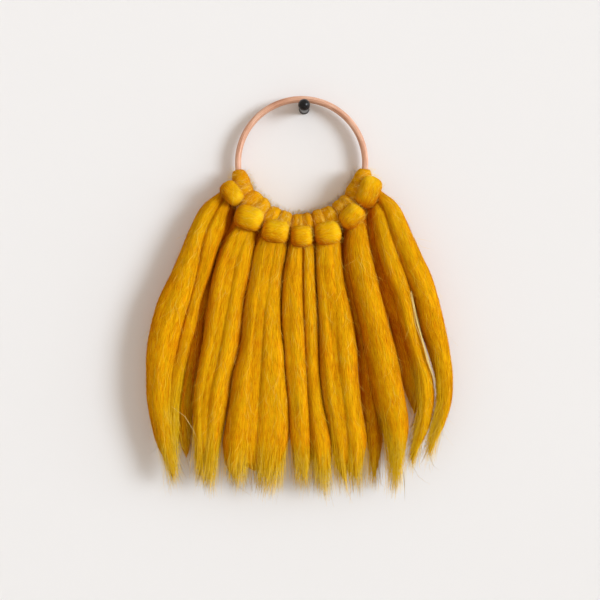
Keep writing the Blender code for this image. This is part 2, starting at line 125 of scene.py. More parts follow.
# Columns of a row: height, left edge, right edge.
LOCKS = {
    "roving_1": {
        "outer": [
            (-81, -78, -70), (-84.5, -84.5, -72.5), (-87.5, -89.5, -75), (-91.5, -94, -78),
            (-99, -100.5, -82.5), (-108, -104.5, -86.5), (-120, -110, -92.5), (-140, -117.5, -97.5),
            (-164, -127.5, -101.5), (-188, -140, -107.5), (-212, -147, -114.5), (-236, -151.5, -120),
            (-261, -151.5, -125), (-285, -151, -127.5), (-324, -142.5, -127), (-350, -131, -122),
        ],
        "inner": [
            (-88, -77, -67), (-96, -83.5, -71.5), (-106, -88, -73.5), (-120, -95.5, -76.5),
            (-140, -100, -84), (-164, -104, -90.5), (-188, -110, -99.5), (-212, -116.5, -103.5),
            (-236, -122.5, -111), (-261, -128, -117), (-285, -130, -122.5), (-322, -129.5, -123.5),
        ],
        "tucked": [
            (-108, -85, -78), (-122, -92, -78), (-140, -96, -82.5), (-164, -99, -89), (-188, -106, -93),
            (-217, -112, -96.5), (-237, -116, -100.5), (-261, -120, -105.5), (-286, -125, -109),
            (-315, -127, -109.5), (-332, -120, -109.5),
        ],
    },
    "roving_2": {
        "outer": [
            (-112, -65.5, -55), (-122, -71.5, -56), (-140, -81, -63.5), (-164, -87.5, -69),
            (-188, -91.5, -73), (-212, -94, -77), (-236, -98.5, -81), (-261, -103.5, -86.5),
            (-285, -107, -91.5), (-324, -106, -93), (-346, -105, -96),
        ],
        "inner": [
            (-112, -57, -46.5), (-122, -59.5, -46.5), (-140, -67.5, -49.4), (-164, -73, -52.9),
            (-188, -76.5, -58.2), (-212, -80.5, -60.2), (-236, -84.5, -62.9), (-261, -90.5, -70.2),
            (-285, -95.5, -72.7), (-324, -97, -80), (-350, -98.5, -86.5),
        ],
    },
    "roving_3": {
        "outer": [
            (-118, -38.5, -27), (-130, -44, -30), (-140, -48.6, -32.5), (-164, -52.1, -37),
            (-188, -57.3, -39.5), (-212, -59.3, -42), (-236, -62, -43.5), (-261, -69.3, -45.5),
            (-285, -71.8, -48), (-324, -79, -50), (-350, -79, -55),
        ],
        "inner": [
            (-118, -29.5, -17), (-130, -33, -16.5), (-140, -35, -17), (-164, -39.5, -21.5),
            (-188, -42.5, -22.6), (-212, -44.5, -22.2), (-236, -46, -19.6), (-261, -48, -18.3),
            (-285, -50.5, -15.5), (-324, -52.5, -14.3), (-350, -52.5, -18.5),
        ],
    },
    "roving_4": {
        "outer": [
            (-122, -11.5, -0.5), (-140, -16, 0), (-164, -20.6, 0), (-188, -21.7, 0),
            (-212, -21.3, 1), (-236, -18.7, 2), (-261, -17.4, 3.5), (-285, -14.6, 5),
            (-324, -13.4, 7.5), (-350, -8.5, 8.5),
        ],
        "inner": [
            (-122, -2, 7), (-140, -2, 10), (-164, -2, 10.4), (-188, -2, 12),
            (-212, -1, 13), (-236, 0, 13.5), (-261, 1, 14.5), (-285, 3, 17.4),
            (-324, 5, 26.4), (-350, 7, 28.5),
        ],
    },
    "roving_5": {
        "outer": [
            (-120, 12, 24.5), (-140, 11, 25), (-164, 11.2, 25), (-188, 12.8, 27.5),
            (-212, 13.8, 29.5), (-236, 14.3, 31.5), (-261, 15.3, 33), (-285, 18.2, 36),
            (-324, 27.2, 42), (-350, 30, 44.5),
        ],
        "inner": [
            (-120, 22, 33), (-140, 22.5, 36), (-164, 22.5, 36.5), (-188, 25, 42.5),
            (-212, 27, 47), (-236, 29, 50.5), (-261, 31, 51.5), (-285, 34, 53.5),
            (-324, 39, 60), (-350, 41, 57.5),
        ],
    },
    "roving_6": {
        "outer": [
            (-106, 46, 57), (-120, 41.5, 60), (-140, 40.5, 63), (-164, 44, 69),
            (-188, 49, 75), (-212, 54, 81), (-236, 59.5, 88), (-261, 64, 92.5),
            (-285, 68, 97), (-304, 74.5, 100.5), (-324, 79.5, 99.5), (-346, 82.5, 95),
        ],
        "tucked": [
            (-117, 43, 50), (-130, 39.5, 53), (-149, 38.5, 54), (-170, 39.5, 56), (-188, 44, 61),
            (-212, 48.5, 64), (-237, 52, 67), (-262, 53.5, 70), (-286, 55.5, 73), (-325, 62, 76),
            (-350, 63.5, 73),
        ],
    },
    "roving_7": {
        "inner": [
            (-90, 63, 75), (-106, 65, 81), (-120, 67, 84), (-140, 70.5, 90.5), (-164, 77, 99),
            (-188, 87.5, 106), (-212, 93, 110), (-236, 100, 115.5), (-261, 108.5, 123.5),
            (-285, 111, 125.5), (-314, 107.5, 119.5), (-336, 101, 107.5),
        ],
        "outer": [
            (-79, 62, 70), (-83, 64.5, 75), (-86.5, 67, 82), (-91, 70, 88.5), (-101, 75, 94.5),
            (-116, 79, 100.5), (-140, 87, 111), (-164, 96, 122.5), (-188, 106, 129.5),
            (-212, 111, 135.5), (-236, 120, 140), (-261, 127, 143.5), (-285, 129, 142.5),
            (-314, 123.5, 133.5), (-328, 118.5, 123.5),
        ],
        "tucked": [
            (-105, 66, 74), (-120, 64, 78), (-140, 64.5, 81), (-164, 70.5, 87), (-188, 76.5, 96),
            (-217, 84, 103), (-247, 91.5, 112), (-276, 96.5, 116), (-289, 101, 114),
        ],
    },
}

# Pointed ends. Columns: x and height.
TIPS = {
    ("roving_1", "outer"): [(-129, -357), (-125, -362), (-120, -368)],
    ("roving_1", "inner"): [(-126, -337), (-123, -346)],
    ("roving_1", "tucked"): [(-115, -340), (-112, -335)],
    ("roving_2", "outer"): [(-103, -364), (-100, -367)],
    ("roving_2", "inner"): [(-95, -369), (-89, -376), (-86, -364)],
    ("roving_3", "outer"): [(-71, -366), (-61, -371), (-53, -366)],
    ("roving_3", "inner"): [(-45, -373), (-39, -379), (-32, -376), (-24, -375)],
    ("roving_4", "outer"): [(-8, -369), (-1, -373)],
    ("roving_4", "inner"): [(10, -373), (17, -376), (23, -380)],
    ("roving_5", "outer"): [(33, -370), (40, -374)],
    ("roving_5", "inner"): [(46, -371), (54, -374)],
    ("roving_6", "outer"): [(82, -378), (86, -373), (91, -361)],
    ("roving_6", "tucked"): [(67, -373)],
    ("roving_7", "inner"): [(100, -352), (105, -345)],
    ("roving_7", "outer"): [(114, -345), (119, -338)],
    ("roving_7", "tucked"): [(108, -298)],
}

# Half of a lock's depth is a share of its width and a little more, between a least and a most.
LOCK_SPREAD, LOCK_EXTRA, LOCK_THIN, LOCK_FULL = 0.42, 2.0, 5.0, 12.5
TUCKED_HALF = 6.5  # half of a tucked lock's depth
print(sum(len(each) for each in LOCKS.values()), "locks,", sum(map(len, TIPS.values())), "pointed ends")

# %% [markdown]
# ## Forms
#
# A form is a soft closed shape with a direction in which its fibres run. It could be sculpted, or
# remeshed from the plain solid, but then the fibre direction would be lost. Here a form is a function
# of two numbers instead: `u` from 0 to 1 along the fibres, and `v` from 0 to 1 around them. The same
# function then makes the core's mesh and lays every strand along its surface. `fill` pulls a point in
# towards the form's middle line.

# %% Helpers for forms
rng = np.random.default_rng(7)


def squarish(turn, power):
    """Points of a superellipse of half-axes 1, where turn runs from 0 to 1 around it."""
    angle = 2 * math.pi * turn
    across, along = np.cos(angle), np.sin(angle)
    return np.sign(across) * np.abs(across) ** (2 / power), np.sign(along) * np.abs(along) ** (2 / power)


def softened(values, reach):
    """The values with their corners rounded, by a running mean that keeps both ends."""
    padded = np.pad(values, reach, mode="edge")
    kernel = np.hanning(2 * reach + 3)[1:-1]
    return np.convolve(padded, kernel / kernel.sum(), mode="valid")


def rippled(rows):
    """A function of (u, v) that gives soft lengthwise ridges and valleys.

    A row is a number of waves round the form, their size as a share of it, and how far they drift."""
    waves, size, drift = np.array(rows, float).T
    size = size * rng.uniform(0.6, 1.2, len(size))
    phase, drift = rng.uniform(0, 2 * math.pi, len(size)), drift * rng.normal(0, 1, len(size))

    def ripple(u, v):
        total = 1.0
        for wave, amount, start, turn in zip(waves, size, phase, drift):
            total = total + amount * np.cos(2 * math.pi * wave * v + start + turn * np.sin(3 * u + start))
        return total

    return ripple


print("helpers for forms: superellipse sections, soft corners and lengthwise ripples")

# %% Locks as forms
SAMPLES = 120
SOFT_REACH = 6  # how many samples each way round off a corner of a lock's edge
LOCK_PAST = 10.0  # how far a lock runs on below its last row
LOCK_ROOT, LOCK_TAPER = 12.0, 42.0  # lengths over which it opens at its root and closes at its end
LOCK_SHORT = 3.0  # how far above its end it is closed
ROOT_LEAST, END_LEAST = 0.1, 0.0004  # squares of the share of its width that root and end keep
LOCK_ROUND = 2.0  # the power of its section, a plain oval
LOCK_RIPPLES = (
    (2, 0.03, 1.5), (3, 0.035, 2.0), (4, 0.04, 2.0),
    (6, 0.025, 2.5), (9, 0.014, 3.0), (13, 0.008, 3.0),
)


def lock_form(rows, tucked, half_deep=None):
    """One hanging lock, u from its root down to its end. With whole=True it doesn't close at its end."""
    rows = np.array(rows, float)
    height = np.linspace(rows[0, 0], rows[-1, 0] - LOCK_PAST, SAMPLES)
    left = softened(np.interp(-height, -rows[:, 0], rows[:, 1]), SOFT_REACH)
    right = softened(np.interp(-height, -rows[:, 0], rows[:, 2]), SOFT_REACH)
    wide = right - left
    if half_deep is not None:
        deep = np.full(SAMPLES, half_deep)
    else:
        deep = np.clip(LOCK_SPREAD * wide + LOCK_EXTRA, LOCK_THIN, LOCK_FULL)
    if tucked:
        middle_y = np.full(SAMPLES, TUCKED_Y)
    else:
        settled = np.minimum(1.0, (height[0] - height) / ROOT_RUN)
        middle_y = ROOT_Y + (FRONT_Y - ROOT_Y) * softened(settled, SOFT_REACH)
    from_end = np.clip((height - height[-1] - LOCK_SHORT) / LOCK_TAPER, 0, 1)
    closing = np.sqrt(np.clip(from_end * (2 - from_end), END_LEAST, 1))
    opening = np.sqrt(np.clip((height[0] - height) / LOCK_ROOT, ROOT_LEAST, 1))
    half, deep, middle_x = wide / 2 * opening, deep * opening, (left + right) / 2
    ripple = rippled(LOCK_RIPPLES)
    steps = np.linspace(0, 1, SAMPLES)

    def at(u, v, fill=1.0, whole=False):
        across, along = squarish(v, LOCK_ROUND)
        shape = ripple(u, v) * fill * (1.0 if whole else np.interp(u, steps, closing))
        x = np.interp(u, steps, middle_x) + np.interp(u, steps, half) * across * shape
        y = np.interp(u, steps, middle_y) + np.interp(u, steps, deep) * along * shape
        return np.stack([x, y, np.interp(u, steps, height)], axis=-1)

    return at


print("a lock follows", SAMPLES, "heights and has", len(LOCK_RIPPLES), "kinds of ripple")

# %% Turns over the ring as forms
# Columns: first and last degree of one turn over the ring, its inner radius at each, its outer radius.
TURNS = {
    "roving_1": ((-83.5, -60.0, 53.4, 52.6, 70.0), (-73.0, -57.0, 53.4, 52.6, 72.0)),
    "roving_2": ((-62.5, -42.0, 52.5, 47.8, 74.0), (-51.0, -31.5, 47.8, 50.4, 74.0)),
    "roving_3": ((-38.0, -18.0, 50.6, 49.0, 74.0), (-26.0, -7.0, 49.0, 50.2, 74.0)),
    "roving_4": ((-12.5, 5.0, 50.6, 49.8, 74.0), (-4.0, 13.5, 49.8, 49.0, 74.0)),
    "roving_5": ((8.0, 26.0, 48.6, 47.8, 74.0), (16.5, 37.0, 48.0, 50.0, 74.0)),
    "roving_6": ((31.5, 49.0, 49.8, 50.2, 74.0), (38.5, 55.5, 50.2, 50.6, 74.0)),
    "roving_7": ((49.5, 72.0, 50.4, 50.2, 74.0), (60.5, 84.5, 50.4, 53.4, 70.0)),
}
TURN_RIPPLES = ((3, 0.02, 0.8), (5, 0.015, 1.0), (8, 0.01, 1.0))
TURN_ROUND = 2.3  # the power that rounds a turn off along the ring
TURN_EDGE = 0.03  # the least share of its depth that a turn keeps at its edges
TURN_NARROW = 0.25  # the share of its height that it keeps there


def turn_form(first, last, inner_first, inner_last, outer):
    """One turn over the ring. Its fibres run round the ring's section, and v runs along the ring."""
    middle_y, half_y = (WRAP_FRONT + WRAP_BACK) / 2, (WRAP_BACK - WRAP_FRONT) / 2
    middle, half = math.radians(first + last) / 2, math.radians(last - first) / 2
    ripple = rippled(TURN_RIPPLES)

    def at(u, v, fill=1.0):
        place = -1 + 2 * v
        closing = (1 - np.abs(place) ** TURN_ROUND) ** 0.5 * fill * ripple(u, v * 0.5)
        closing = np.clip(np.nan_to_num(closing), TURN_EDGE, None)
        across, along = squarish(u + 0.25, WRAP_SQUARE)
        inner = inner_first + (inner_last - inner_first) * v
        angle = middle + half * place
        high = TURN_NARROW + (1 - TURN_NARROW) * closing
        radius = (inner + outer) / 2 + (outer - inner) / 2 * across * high
        return np.stack([
            HOOP_MIDDLE[0] + radius * np.sin(angle),
            middle_y + half_y * closing * along,
            HOOP_MIDDLE[2] - radius * np.cos(angle),
        ], axis=-1)

    return at


print(sum(map(len, TURNS.values())), "turns over the ring")

# %% Bars as forms
# Columns: the bar's middle x and z, its length and height, and its tilt. Soft wool swells a little
# past the plain bar of the solid.
BARS = {
    "roving_1": (-69.6, -84.9, 26.0, 17.6, -52.0),
    "roving_2": (-53.0, -108.8, 29.6, 23.0, -17.0),
    "roving_3": (-27.4, -122.0, 28.6, 22.8, -6.0),
    "roving_4": (-2.3, -126.4, 23.4, 20.4, 0.0),
    "roving_5": (22.6, -123.4, 27.2, 22.0, 9.0),
    "roving_6": (45.6, -107.2, 26.4, 20.4, 48.0),
    "roving_7": (61.8, -83.4, 32.4, 21.6, 69.0),
}
BAR_RIPPLES = ((2, 0.03, 1.0), (3, 0.025, 1.0), (5, 0.015, 1.5), (9, 0.008, 2.0))
BAR_BLUNT = 5  # the power that rounds a bar's ends: more is blunter
BAR_EDGE = 0.01  # the square of the share of its section that a bar keeps at its ends
BAR_WAIST = 0.1  # how much thinner it gets towards them


def bar_form(x, z, length, height, tilt):
    """The bar across a hitch. Its fibres run from end to end, and v runs round it."""
    lean = math.radians(tilt)
    ripple = rippled(BAR_RIPPLES)

    def at(u, v, fill=1.0):
        place = -1 + 2 * u
        closing = np.sqrt(np.clip(1 - np.abs(place) ** BAR_BLUNT, BAR_EDGE, 1)) * fill
        up, out = squarish(v, BAR_SQUARE)
        swell = (1 - BAR_WAIST * place**2) * closing * ripple(u, v)
        up = up * height / 2 * swell
        along = place * length / 2
        return np.stack([
            x + along * math.cos(lean) - up * math.sin(lean),
            BAR_MIDDLE_Y + BAR_BEND * place**4 + out * BAR_HALF_DEEP * swell,
            z + along * math.sin(lean) + up * math.cos(lean),
        ], axis=-1)

    return at


print(len(BARS), "bars across the hitches")

# %% [markdown]
# ## Meshes from forms
#
# The core is a plain grid over a form, closed at both ends. A Skin modifier could make a soft body as
# well, but a grid keeps its rows along the fibres, and that is what the streaks need. The grid also
# stores `flow`, a UV map with millimetres along the fibres in one direction and millimetres across
# them in the other, so the streak pattern has one scale on every piece.

# %% Mesh helpers
def mesh_object(name, points, faces, flow=None, shade=None):
    """A smooth mesh object from points in millimetres, with a UV per corner and a shade per point."""
    data = bpy.data.meshes.new(name)
    data.from_pydata((points * MM).tolist(), [], faces)
    if flow is not None:
        data.uv_layers.new(name="flow").data.foreach_set("uv", flow.astype(np.float32).ravel())
    if shade is not None:
        data.attributes.new("strand", "FLOAT", "POINT").data.foreach_set("value", shade.astype(np.float32))
    data.shade_smooth()
    return linked(name, data)


def grid_of(at, along, around, closed=False):
    """Points, faces and corner UVs of a grid over a form: a ring when closed, and capped otherwise."""
    reach = np.arange(along) / along if closed else np.linspace(0, 1, along)
    u, v = np.meshgrid(reach, np.arange(around) / around, indexing="ij")
    grid = at(u, v)
    steps = along if closed else along - 1
    row, here = np.meshgrid(np.arange(steps), np.arange(around), indexing="ij")
    low, high, after = row * around, (row + 1) % along * around, (here + 1) % around
    quads = np.stack([low + here, high + here, high + after, low + after], axis=-1).reshape(-1, 4)
    rows = np.append(grid, grid[:1], axis=0) if closed else grid
    run = np.linalg.norm(np.diff(rows, axis=0), axis=2).mean(axis=1)
    run = np.concatenate([[0], np.cumsum(run)])
    girth = np.linalg.norm(np.diff(grid, axis=1, append=grid[:, :1]), axis=2).sum(axis=1).max() / around
    corners = [(row, here), (row + 1, here), (row + 1, here + 1), (row, here + 1)]
    flow = np.stack([np.stack([y * girth, run[x]], axis=-1) for x, y in corners], axis=2).reshape(-1, 2)
    faces = quads.tolist()
    if not closed:
        faces += [list(range(around)), list(range((along - 1) * around, along * around))[::-1]]
        flow = np.concatenate([flow, np.zeros((2 * around, 2))])
    return grid.reshape(-1, 3), faces, flow


def joined(grids):
    """Several grids, each with its shade, as one list of points, faces, corner UVs and point shades."""
    points, faces, flows, shades, start = [], [], [], [], 0
    for (some_points, some_faces, flow), shade in grids:
        points.append(some_points)
        faces += [[corner + start for corner in face] for face in some_faces]
        flows.append(flow)
        shades.append(shade)
        start += len(some_points)
    return np.concatenate(points), faces, np.concatenate(flows), np.concatenate(shades)


print("mesh helpers: grids over forms, with the flow UV map")

# %% [markdown]
# ## Strands
#
# Roving is a bundle of fine fibres that lie side by side, and its look is in their small overlaps.
# Blender's hair would draw them well, but hair isn't a mesh, and every piece here has to be one. So
# each strand is a thin closed prism with three sides, laid on its form along `u`. It lifts a little
# off the core in the middle of its run, wavers, and thins out at both ends. A strand here stands for
# a small clump of real fibres. Four kinds are made: `laid` strands cover a form, `loose` hairs stand
# off it and make its soft edge, `ending` strands leave a lock and thin out below it, and `strays` are
# the few long hairs that have come away. Loose hairs and thinning ends are painted paler, as painted
# light for thin fibres that light shines through, and the pale strays along a slot in roving_7 are
# partly pale fuzz and partly painted light for the bright wall seen through the slot.

# %% Strand helpers
STRAND_STEPS = 4
reach = np.linspace(0, 1, STRAND_STEPS)
TAPER = np.array((0.3, 1.0, 1.0, 0.2))  # a strand's width at each step, as a share of its full width
FRONT_TURN = 0.75  # v at the front of a form
FRONT_SHARE, FRONT_HALF = 0.66, 0.27  # the share of strands near the front, and how far round that is
SMALL_STEP = 0.004  # the step in u and v that measures the directions out of a form


def spread_round(count, front_share=FRONT_SHARE):
    """Places round a form, with more of them on its front half than on its back."""
    front = rng.random(count) < front_share
    near, far = rng.uniform(-FRONT_HALF, FRONT_HALF, count), rng.uniform(FRONT_HALF, 1 - FRONT_HALF, count)
    return (FRONT_TURN + np.where(front, near, far)) % 1.0


def wave(count, low, high):
    """One slow seeded wave for each strand, along its length."""
    turns, start = rng.uniform(low, high, count)[:, None], rng.random(count)[:, None]
    return np.sin(2 * math.pi * (reach * turns + start))


def widths(wide, count):
    """Each strand's width at each of its steps, in millimetres."""
    return rng.uniform(*wide, count)[:, None] * TAPER


def unit(directions):
    """The directions at length 1."""
    return directions / (np.linalg.norm(directions, axis=-1, keepdims=True) + 1e-9)


def outward(at, u, v):
    """Points of a form and the directions out of it, from small steps along and around."""
    along = at(np.clip(u + SMALL_STEP, 0, 1), v) - at(np.clip(u - SMALL_STEP, 0, 1), v)
    around = at(u, v + SMALL_STEP) - at(u, v - SMALL_STEP)
    return at(u, v), unit(np.cross(along, around))


print("each strand has", STRAND_STEPS, "steps")

# %% [markdown]
# Wool is deepest where it turns away into a crease, and a thick coat of real fibres hides far more
# light there than a few thousand strands do. So each kind of form has a shade function of (u, v), as
# it has a shape, and it paints light and shade into the colour: painted shade in the creases and on
# hidden wool, and painted light on the crowns and on the sides of turns and bars that face the key
# light. Its core and its strands both take their shade from it, and the dye further down turns
# shades into colours.

# %% Painted shade and light over a form
# painted light and shade: CROWN lightens a lock's crown and deepens its sides, towards the creases
CROWN, CROWN_MIDDLE = 0.42, 0.75  # how much lighter the crown is than the sides, and what counts as even
# painted shade: hidden and tucked wool is darker in front, most of all near the hitch
HIDDEN_DEEPER = 0.22  # half of how much deeper a hidden lock gets at its front
# painted light: a turn is lighter towards its right, the side the key light comes from
TURN_LIGHTER, TURN_ACROSS = 0.05, 0.25  # a turn's shade, and how much it changes from left to right
# painted light and shade: a bar is lighter at its right and above, where the key light falls
BAR_LIGHTER, BAR_ALONG, BAR_UP = 0.1, 0.55, 0.25  # a bar's, and how it changes along and up


def to_front(v):
    """1 at the front of a form, -1 at its back and 0 at its sides."""
    return np.cos(2 * math.pi * (v - FRONT_TURN))


def front_lock(u, v):
    """Painted shade and light on a lock: lighter on its front and back, and deeper towards its sides, where
    it turns into a crease.
    """
    return CROWN * (np.abs(to_front(v)) - CROWN_MIDDLE)


def hidden_lock(u, v):
    """Painted shade on a lock behind the others: deeper in front, most of all near the hitch, where it lies
    in shade.
    """
    return front_lock(u, v) - HIDDEN_DEEPER * (1 - u**2) * (1 + to_front(v))


def turn_shade(u, v):
    """A turn over the ring has the plain shade of the wool, with painted light that makes it a little lighter
    towards its right, where the key light comes from.
    """
    return TURN_LIGHTER + TURN_ACROSS * (v - 0.5)


def bar_shade(u, v):
    """Painted light and shade on a bar: deeper at its left end and along its lower edge, and lighter at its
    right and above, where the key light comes from.
    """
    return front_lock(u, v) + BAR_LIGHTER + BAR_ALONG * (u - 0.5) + BAR_UP * np.cos(2 * math.pi * v)


print("a lock's crown is", CROWN, "lighter than its sides")

# %% Strands that cover a form
FINE = (0.15, 0.4)  # the least and most width
EVEN_SHADE = (0.25, 0.68)
PAST_END = 0.35  # the share of its length by which a strand may pass an end of its form
BEGIN_WITHIN, STOP_WITHIN = (0.001, 0.96), (0.04, 0.999)  # where it's cut off there
CROSSING = 0.045  # how far strands stray round the form as they run along it
RISE_LEAST = 0.4  # the share of its lift that a strand has at its two ends
SLOW_WAVES = (0.5, 1.6)
WAVER_EACH_WAY = np.array((0.6, 0.4, 0.2))


def laid(at, places, coat, cast):
    """Strands that lie on a form.

    A coat is their part of its length, their lift, and how far they waver in turns and in millimetres.
    cast is the form's shade function, which paints its shade and light into the strands."""
    run, lift, waver = coat
    count = len(places)
    length = rng.uniform(*run, count)
    start = rng.uniform(-PAST_END * length, 1 - (1 - PAST_END) * length, count)
    begin, stop = np.clip(start, *BEGIN_WITHIN), np.clip(start + length, *STOP_WITHIN)
    u = begin[:, None] + (stop - begin)[:, None] * reach
    v = places[:, None] + rng.normal(0, CROSSING, count)[:, None] * (reach - 0.5)
    v = v + waver[0] * wave(count, *SLOW_WAVES)
    here, out = outward(at, u, v)
    rise = RISE_LEAST + (1 - RISE_LEAST) * np.sin(math.pi * reach)
    path = here + out * (rng.uniform(*lift, count)[:, None] * rise)[..., None]
    path = path + waver[1] * wave(count, *SLOW_WAVES)[..., None] * WAVER_EACH_WAY
    shade = rng.uniform(*EVEN_SHADE, count)[:, None] + cast(u, v)
    return path, out, widths(FINE, count), shade


print("laid strands are", FINE[0], "to", FINE[1], "mm wide")

# %% Loose and stray hairs
HAIR = (0.09, 0.17)
HAIR_SWEEP, HAIR_CURL = 0.5, 0.06  # how far hairs turn aside and curl, as shares of their length
HAIR_ARCH = (0.4, 0.9)  # how much of a whole arch a hair makes: at 1 it would come back down
HAIR_WAVES = (0.5, 1.2)
AHEAD_STEP = 0.01
# painted light: loose hairs and fuzz are paler than the wool they leave, for thin fibres lit through
PALE_HAIR, PALE_FUZZ = 1.25, 1.5  # shades of the hairs on locks and bars, and on turns


def loose(at, places, long, lift, pale=PALE_HAIR):
    """Short fine hairs that leave a form, curl, and stand off it, painted paler as thin fibres lit through.
    """
    count = len(places)
    u = rng.random(count)[:, None] + 0 * reach
    here, out = outward(at, u, places[:, None] + 0 * reach)
    before, after = np.clip(u - AHEAD_STEP, 0, 1), np.clip(u + AHEAD_STEP, 0, 1)
    ahead = unit(at(after, places[:, None]) - at(before, places[:, None]))
    aside = np.cross(ahead, out)
    length = rng.uniform(*long, count)[:, None]
    sweep = rng.normal(0, HAIR_SWEEP, count)[:, None]
    rise = rng.uniform(*lift, count)[:, None]
    rise = rise * np.sin(math.pi * reach * rng.uniform(*HAIR_ARCH, count)[:, None])
    path = here + ahead * (length * reach)[..., None] + aside * (length * sweep * reach**2)[..., None]
    path = path + out * rise[..., None]
    path = path + HAIR_CURL * (length * wave(count, *HAIR_WAVES))[..., None] * aside
    return path, out, widths(HAIR, count), np.full((count, STRAND_STEPS), pale)


def strays(points, count, apart, wide, pale):
    """A few long hairs along one line of points, each a little apart from it."""
    path = np.array(points, float) + rng.normal(0, 1, (count, STRAND_STEPS, 3)) * np.array(apart)
    out = np.tile(np.array((0.0, -1.0, 0.0)), (count, STRAND_STEPS, 1))
    return path, out, widths(wide, count), np.full((count, STRAND_STEPS), pale)


print("loose hairs are", HAIR[0], "to", HAIR[1], "mm wide")

# %% Strands at a lock's end
WISP = (0.1, 0.24)
AT_SURFACE = 0.6  # the share of these strands that start on the lock's surface, not inside it
FILL_SURFACE, FILL_INSIDE = (1.0, 1.05), (0.3, 1.0)  # how far out from its middle line they start
END_SPREAD = np.array((5.0, 3.5, 3.0))  # how far they spread about a pointed end, each way
SPREAD_MOST = 2  # no strand spreads more than this many times as far
STRAY_SHARE, STRAY_WIDER = 0.4, 1.9  # the share that spread wider, and how much wider
END_STRAIGHT = 0.5  # how far a strand keeps its own place, against its pointed end's
END_FADE, FADE_POWER = 40.0, 1.3  # height over which they run out, with more of them lower down
END_WAVER, END_WAVES = 0.6, (0.4, 1.2)
# painted light: these strands start lighter than laid ones and grow paler as they thin, for fibres lit
# through
END_SHADE, END_PALER = (0.5, 0.95), 0.5
END_FLAT = 0.7  # the share that stays of the sideways part of their directions outwards


def ending(at, count, u_from, ends):
    """Strands that leave a lock's lower part and run out near its pointed ends, painted paler as they thin,
    as fibres lit through.
    """
    begin = rng.uniform(*u_from, count)[:, None]
    u = begin + (1 - begin) * reach
    v = spread_round(count)[:, None] + 0 * reach
    on_surface = rng.random(count) < AT_SURFACE
    fill = np.where(on_surface, rng.uniform(*FILL_SURFACE, count), rng.uniform(*FILL_INSIDE, count))
    here = at(u, v, fill=fill[:, None], whole=True)
    stray = np.where(rng.random(count) < STRAY_SHARE, STRAY_WIDER, 1.0)[:, None]
    apart = np.clip(rng.normal(0, 1, (count, 3)), -SPREAD_MOST, SPREAD_MOST) * END_SPREAD * stray
    goal = np.array(ends)[rng.integers(0, len(ends), count)] + apart
    goal[:, :2] += END_STRAIGHT * (here[:, -1, :2] - goal[:, :2])
    goal[:, 2] += END_FADE * rng.random(count) ** FADE_POWER
    pull = (3 * reach**2 - 2 * reach**3)[None, :, None]
    path = here * (1 - pull) + goal[:, None, :] * pull
    path[..., 0] += END_WAVER * wave(count, *END_WAVES) * reach
    path[..., 1] += END_WAVER * wave(count, *END_WAVES) * reach
    out = np.stack([END_FLAT * np.cos(2 * math.pi * v), np.sin(2 * math.pi * v), 0 * v], axis=-1)
    wide = widths(WISP, count)
    return path, out, wide, rng.uniform(*END_SHADE, count)[:, None] + END_PALER * reach


print("strands run out over", END_FADE, "mm at a lock's end")

# %% Strand meshes
STRAND_REACH = (-43.0, -1.0)  # y of the farthest and the nearest that a strand comes to the wall
STRAND_RISE = 0.35  # the height of a strand's outer edge, as a share of its width
STRAND_ROUND = 0.4  # how round a strand is shaded, against the form that it lies on


def strand_mesh(name, batches):
    """One mesh object from batches of strand paths, directions outwards, widths and shades."""
    path, out, width, shade = (np.concatenate(column) for column in zip(*batches))
    path[..., 1] = np.clip(path[..., 1], *STRAND_REACH)
    width = width[..., None]
    count, steps = path.shape[:2]
    side = unit(np.cross(np.gradient(path, axis=1), out))
    left, right = path - side * width / 2, path + side * width / 2
    corners = np.stack([left, right, path + out * width * STRAND_RISE], axis=2)
    first = (np.arange(count) * steps * 3)[:, None]
    low = first[..., None] + (np.arange(steps - 1) * 3)[:, None] + np.arange(3)
    after = np.roll(low, -1, axis=2)
    quads = np.stack([after, low, low + 3, after + 3], axis=-1).reshape(-1, 4)
    ends = np.concatenate([first + np.arange(3), first + (steps - 1) * 3 + np.array((2, 1, 0))])
    loops = np.concatenate([quads.ravel(), ends.ravel()])
    starts = np.concatenate([np.arange(len(quads)) * 4, len(quads) * 4 + np.arange(len(ends)) * 3])
    data = bpy.data.meshes.new(name)
    data.vertices.add(count * steps * 3)
    data.vertices.foreach_set("co", (corners.reshape(-1) * MM).astype(np.float32))
    data.loops.add(len(loops))
    data.loops.foreach_set("vertex_index", loops.astype(np.int32))
    data.polygons.add(len(starts))
    data.polygons.foreach_set("loop_start", starts.astype(np.int32))
    data.update(calc_edges=True)
    layer = data.attributes.new("strand", "FLOAT", "POINT")
    layer.data.foreach_set("value", np.repeat(shade.ravel(), 3).astype(np.float32))
    data.shade_smooth()
    facing = np.stack([out - side * STRAND_ROUND, out + side * STRAND_ROUND, out], axis=2).reshape(-1, 3)
    data.normals_split_custom_set_from_vertices(facing / np.linalg.norm(facing, axis=1, keepdims=True))
    return linked(name, data), 2 * len(quads) + len(ends)


print("strands stay between y", *STRAND_REACH, "mm")

# %% [markdown]
# ## Wool
#
# Dyed wool is matt, with a faint sheen where fibre ends catch the light. One flat yellow would look
# like plastic: each clump of fibres takes the dye a little differently, and the whole length drifts
# between egg yellow and ochre. A painted texture could hold that, but it would fix the piece to one
# UV layout. Here two node groups do it. The first mixes five tones from a shade that changes over the
# surface; on the wool that shade holds both the drift of the dye and the painted shade and light of
# each form. `streaks` makes long thin marks along a piece's `flow` UV, for the core of the wool and
# for the grain of the beech.

